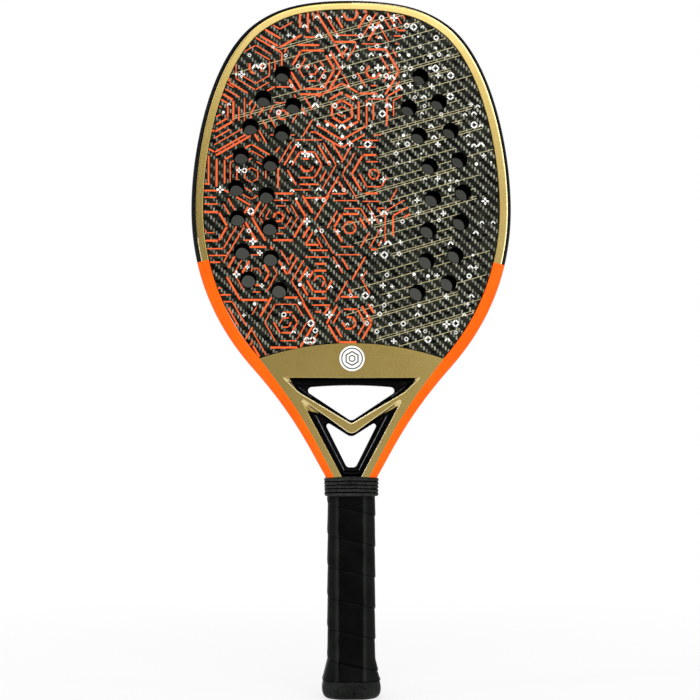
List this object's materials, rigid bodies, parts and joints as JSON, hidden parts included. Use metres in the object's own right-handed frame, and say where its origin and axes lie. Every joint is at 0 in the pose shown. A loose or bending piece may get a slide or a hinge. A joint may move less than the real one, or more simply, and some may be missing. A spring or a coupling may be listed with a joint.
{
  "type": "beach tennis racket",
  "caption": "Solid-faced beach tennis racket: perforated face in a painted hoop, open throat with a V strut, ribbed collar and tape-wound eight-sided grip.",
  "frame": {"origin": "on the handle's axis, at the middle of the grip", "axes": "+Z along the handle towards the crown, +Y from the front face to the back face, +X to the right seen from the front"},
  "size_m": [0.2298, 0.0392, 0.5],
  "materials": {
    "frame_paint": "clear-coated paint over laminate: black edge, metallic gold faces, orange lower bands",
    "face_sheet": "satin clear coat over woven carbon and glass, with a printed pattern",
    "core_foam": "dark closed-cell foam, cut",
    "shaft_filler": "rigid foam, cut",
    "pallet": "moulded rigid foam",
    "butt_cap": "fine-grained moulded plastic",
    "staple": "bright wire",
    "grip_tape": "soft cushioned tape, fine pores, satin",
    "finishing_band": "adhesive tape",
    "collar": "ribbed moulded rubber, matte"
  },
  "bodies": {
    "root": {"frame_hoop": "frame_paint", "foam_core": "core_foam", "front_face_sheet": "face_sheet", "back_face_sheet": "face_sheet", "throat_yoke": "frame_paint", "throat_strut": "frame_paint", "throat_wedge": "frame_paint", "shaft_filler": "shaft_filler", "front_pallet": "pallet", "back_pallet": "pallet", "butt_cap": "butt_cap", "front_staple": "staple", "back_staple": "staple", "grip_tape": "grip_tape", "finishing_band": "finishing_band", "rubber_collar": "collar"}
  },
  "joints": []
}
